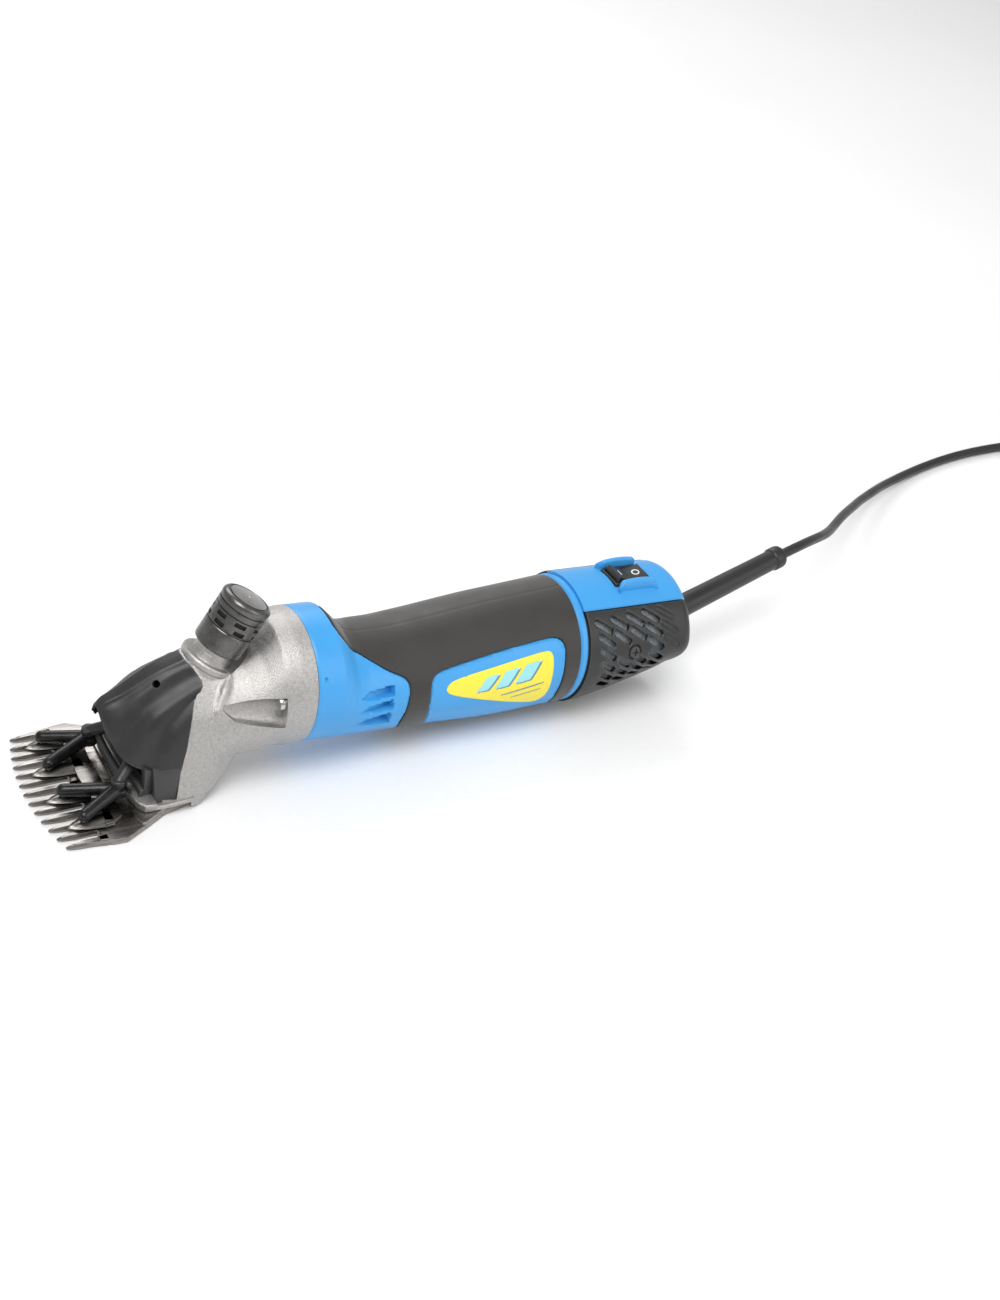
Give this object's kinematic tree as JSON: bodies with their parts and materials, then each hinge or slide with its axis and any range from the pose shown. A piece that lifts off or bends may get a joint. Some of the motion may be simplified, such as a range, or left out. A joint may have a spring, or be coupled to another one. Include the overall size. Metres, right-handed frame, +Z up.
{
  "type": "electric sheep shears",
  "caption": "Hand-held mains shears: cast gear head with swinging cutter over a wide toothed comb, tension knob, gripped motor body, rocker switch and cord.",
  "frame": {"origin": "on the resting surface, under the middle of the shears without their cord", "axes": "+X towards the cord, +Y to the far side, +Z up; the comb points towards -X"},
  "size_m": [0.8499, 0.1891, 0.0953],
  "materials": {
    "cast_head": "sand-cast, clear satin",
    "black_plastic": "moulded, fine grain",
    "comb_steel": "ground steel",
    "steel": "machined",
    "chrome": "polished",
    "black_steel": "blackened steel",
    "gasket": "matt",
    "blue_plastic": "moulded, satin",
    "grip_rubber": "soft-touch rubber",
    "label": "printed foil",
    "foam": "open-cell foam",
    "copper": "enamelled copper",
    "laminations": "laminated steel",
    "brass": "satin",
    "carbon": "carbon",
    "film": "film capacitor",
    "cord": "PVC sheath"
  },
  "bodies": {
    "root": {"head_casing": "cast_head", "nose_cover": "black_plastic", "comb": "comb_steel", "comb_screws": "steel", "centre_post": "steel", "tension_sleeve": "steel", "casing_gasket": "gasket", "motor_housing": "blue_plastic", "grip_sleeve": "grip_rubber", "badge_plate_left": "label", "badge_plate_right": "label", "rear_housing": "blue_plastic", "filter_cover_left": "black_plastic", "filter_cover_right": "black_plastic", "air_filter_left": "foam", "air_filter_right": "foam", "filter_cover_screws": "steel", "head_screws": "steel", "switch_body": "black_plastic", "bearing_plate": "cast_head", "stator_core": "laminations", "stator_windings": "copper", "brush_holders": "brass", "carbon_brushes": "carbon", "brush_springs": "steel", "capacitor": "film", "cord_clamp": "black_plastic", "front_bearing_outer": "steel", "rear_bearing_outer": "steel", "crank_bearing_outers": "steel", "strain_relief": "cord", "cord_lead": "cord", "cord_tail": "cord", "cord_coil": "cord", "cord_tie": "cord", "mains_plug": "cord", "plug_pins": "brass"},
    "armature": {"armature_shaft": "steel", "armature_core": "laminations", "armature_windings": "copper", "commutator": "copper", "cooling_fan": "black_plastic", "front_bearing_inner": "steel", "rear_bearing_inner": "steel", "motor_balls": "chrome"},
    "crank": {"drive_gear": "steel", "crank_shaft": "steel", "crank_roller": "steel", "crank_bearing_inners": "steel", "crank_balls": "chrome"},
    "fork": {"fork": "black_steel", "yoke_left": "black_steel", "yoke_right": "black_steel", "yoke_pins": "steel", "cutter": "comb_steel"},
    "tension_pin": {"tension_pin": "steel"},
    "tension_knob": {"tension_spring": "steel", "tension_knob": "chrome"},
    "rocker": {"switch_rocker": "black_plastic"}
  },
  "joints": [
    {"name": "armature_spin", "type": "hinge", "parent": "root", "child": "armature", "pos_m": [0.01642, 0, 0.04006], "axis": [0.9986, 0, -0.0523], "continuous": true},
    {"name": "crank_spin", "type": "hinge", "parent": "root", "child": "crank", "pos_m": [-0.04425, 0, 0.02882], "axis": [0.9986, 0, -0.0523], "continuous": true},
    {"name": "fork_swing", "type": "hinge", "parent": "root", "child": "fork", "pos_m": [-0.1029, 0, 0.026], "axis": [0, 0, 1], "range_deg": [-7.5, 7.5]},
    {"name": "tension_travel", "type": "slide", "parent": "root", "child": "tension_pin", "axis": [-0.4756, 0, -0.8796], "range_m": [0, 0.003]},
    {"name": "knob_turn", "type": "hinge", "parent": "tension_pin", "child": "tension_knob", "pos_m": [-0.07436, 0, 0.07878], "axis": [-0.4756, 0, -0.8796], "range_deg": [0, 720]},
    {"name": "rocker_tilt", "type": "hinge", "parent": "root", "child": "rocker", "pos_m": [0.1404, 0, 0.06511], "axis": [0, 1, 0], "range_deg": [-20, 0]}
  ],
  "couplings": [
    {"joint": "crank_spin", "follows": "armature_spin", "ratio": -0.26316},
    {"joint": "knob_turn", "follows": "tension_travel", "rad_per_m": 4188.8}
  ]
}
